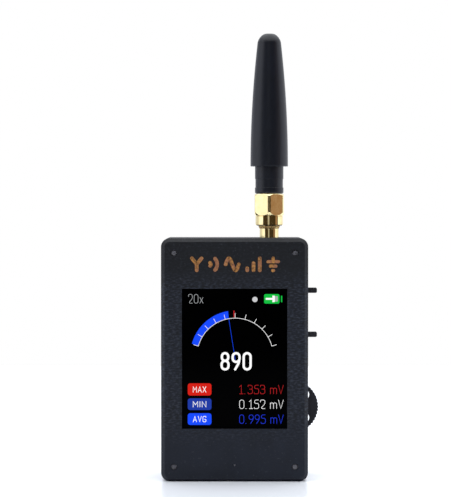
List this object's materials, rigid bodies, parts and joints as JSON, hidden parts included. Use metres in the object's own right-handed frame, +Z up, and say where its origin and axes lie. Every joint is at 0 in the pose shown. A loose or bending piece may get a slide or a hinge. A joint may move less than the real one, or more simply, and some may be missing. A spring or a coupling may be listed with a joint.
{
  "type": "field strength meter",
  "caption": "Pocket radio field strength meter: upright box with a colour screen, side slide switches, a thumbwheel and a screw-on stub antenna.",
  "frame": {"origin": "middle of the flat base that the case stands on", "axes": "+Z up along the antenna, the screen faces -Y, +X to the right of someone who reads the screen"},
  "size_m": [0.0431, 0.02, 0.1223],
  "materials": {
    "case_plastic": "fine grained matt print",
    "screw_steel": "bright zinc",
    "display_glass": "gloss black display glass",
    "white_plastic": "white moulded plastic",
    "foam": "soft black foam",
    "flex_film": "amber film",
    "board_laminate": "green solder mask",
    "module_laminate": "black solder mask",
    "chip_resin": "black moulding",
    "can_metal": "tinned sheet",
    "light_resin": "clear resin",
    "battery_foil": "silver pouch foil",
    "red_lead": "red insulation",
    "black_lead": "black insulation",
    "black_plastic": "black moulding",
    "wheel_plastic": "satin black moulding",
    "pot_laminate": "brown paper laminate",
    "gold_plate": "polished gold plating",
    "insulator": "white dielectric",
    "gasket_rubber": "red silicone",
    "antenna_rubber": "satin black rubber",
    "copper_wire": "bare copper"
  },
  "bodies": {
    "case": {"front_shell": "case_plastic", "rear_shell": "case_plastic", "case_screws": "screw_steel", "lcd_glass": "display_glass", "lcd_backlight": "white_plastic", "flex_connector": "white_plastic", "battery_socket": "white_plastic", "battery_plug": "white_plastic", "lcd_foam_pad": "foam", "battery_tape": "foam", "lcd_flex": "flex_film", "main_board": "board_laminate", "processor_board": "module_laminate", "board_chips": "chip_resin", "processor_can": "can_metal", "rf_shield_can": "can_metal", "usb_shell": "can_metal", "power_switch_can": "can_metal", "gain_switch_can": "can_metal", "status_led": "light_resin", "battery_cell": "battery_foil", "battery_lead_red": "red_lead", "battery_lead_black": "black_lead", "usb_tongue": "black_plastic", "power_switch_base": "black_plastic", "gain_switch_base": "black_plastic", "pot_base": "pot_laminate", "sma_jack": "gold_plate", "sma_jack_contact": "gold_plate", "sma_jack_insulator": "insulator"},
    "power_lever": {"power_switch_lever": "black_plastic"},
    "gain_lever": {"gain_switch_lever": "black_plastic"},
    "wheel": {"thumbwheel": "wheel_plastic", "thumbwheel_screw": "screw_steel", "pot_rotor": "white_plastic"},
    "antenna": {"antenna_base": "antenna_rubber", "antenna_sleeve": "antenna_rubber", "antenna_coil": "copper_wire", "plug_body": "gold_plate", "plug_insulator": "insulator", "plug_pin": "gold_plate", "plug_gasket": "gasket_rubber", "nut_retaining_ring": "screw_steel"},
    "nut": {"coupling_nut": "gold_plate"}
  },
  "joints": [
    {"name": "power_switch", "type": "slide", "parent": "case", "child": "power_lever", "axis": [0, 0, 1], "range_m": [-0.002, 0]},
    {"name": "gain_switch", "type": "slide", "parent": "case", "child": "gain_lever", "axis": [0, 0, 1], "range_m": [-0.002, 0]},
    {"name": "wheel_turn", "type": "hinge", "parent": "case", "child": "wheel", "pos_m": [0.0159, -0.001, 0.0196], "axis": [0, 1, 0], "range_deg": [-150, 150]},
    {"name": "antenna_lift", "type": "slide", "parent": "case", "child": "antenna", "axis": [0, 0, 1], "range_m": [0, 0.00353]},
    {"name": "nut_turn", "type": "hinge", "parent": "antenna", "child": "nut", "pos_m": [0.0096, 0, 0.0753], "axis": [0, 0, 1], "range_deg": [0, 1800]}
  ],
  "couplings": [
    {"joint": "nut_turn", "follows": "antenna_lift", "rad_per_m": 8906}
  ]
}
